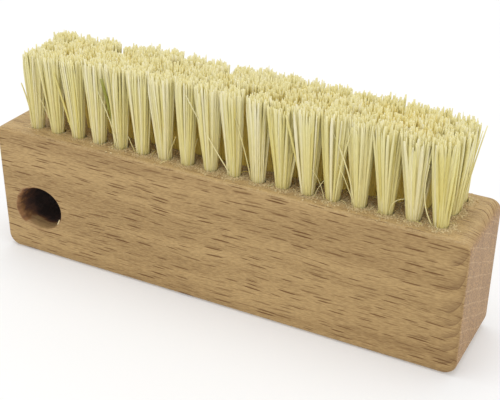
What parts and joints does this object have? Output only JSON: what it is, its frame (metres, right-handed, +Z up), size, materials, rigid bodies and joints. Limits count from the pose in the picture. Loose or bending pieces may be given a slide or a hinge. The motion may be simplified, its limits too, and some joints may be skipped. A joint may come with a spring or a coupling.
{
  "type": "nail brush",
  "caption": "Wooden nail brush: a rounded rectangular block that stands on its flat bottom, with a hanging bore near one end and rows of stiff plant fibre tufts upright in its top.",
  "frame": {"origin": "middle of the block's flat bottom face, which is the bottom centre of the whole part's box", "axes": "+X along the block away from the hanging bore, +Y towards the back face, +Z up, the way the bristles point"},
  "size_m": [0.1, 0.019, 0.0455],
  "materials": {
    "beech": "bare beech, planed and sanded, edges eased, no varnish",
    "fibre": "stiff undyed plant fibre, satin, cut square at the tips"
  },
  "bodies": {
    "root": {"block": "beech", "tuft_front_01": "fibre", "tuft_front_02": "fibre", "tuft_front_03": "fibre", "tuft_front_04": "fibre", "tuft_front_05": "fibre", "tuft_front_06": "fibre", "tuft_front_07": "fibre", "tuft_front_08": "fibre", "tuft_front_09": "fibre", "tuft_front_10": "fibre", "tuft_front_11": "fibre", "tuft_front_12": "fibre", "tuft_front_13": "fibre", "tuft_front_14": "fibre", "tuft_front_15": "fibre", "tuft_front_16": "fibre", "tuft_front_17": "fibre", "tuft_front_18": "fibre", "tuft_middle_01": "fibre", "tuft_middle_02": "fibre", "tuft_middle_03": "fibre", "tuft_middle_04": "fibre", "tuft_middle_05": "fibre", "tuft_middle_06": "fibre", "tuft_middle_07": "fibre", "tuft_middle_08": "fibre", "tuft_middle_09": "fibre", "tuft_middle_10": "fibre", "tuft_middle_11": "fibre", "tuft_middle_12": "fibre", "tuft_middle_13": "fibre", "tuft_middle_14": "fibre", "tuft_middle_15": "fibre", "tuft_middle_16": "fibre", "tuft_middle_17": "fibre", "tuft_middle_18": "fibre", "tuft_back_01": "fibre", "tuft_back_02": "fibre", "tuft_back_03": "fibre", "tuft_back_04": "fibre", "tuft_back_05": "fibre", "tuft_back_06": "fibre", "tuft_back_07": "fibre", "tuft_back_08": "fibre", "tuft_back_09": "fibre", "tuft_back_10": "fibre", "tuft_back_11": "fibre", "tuft_back_12": "fibre", "tuft_back_13": "fibre", "tuft_back_14": "fibre", "tuft_back_15": "fibre", "tuft_back_16": "fibre", "tuft_back_17": "fibre", "tuft_back_18": "fibre"}
  },
  "joints": []
}
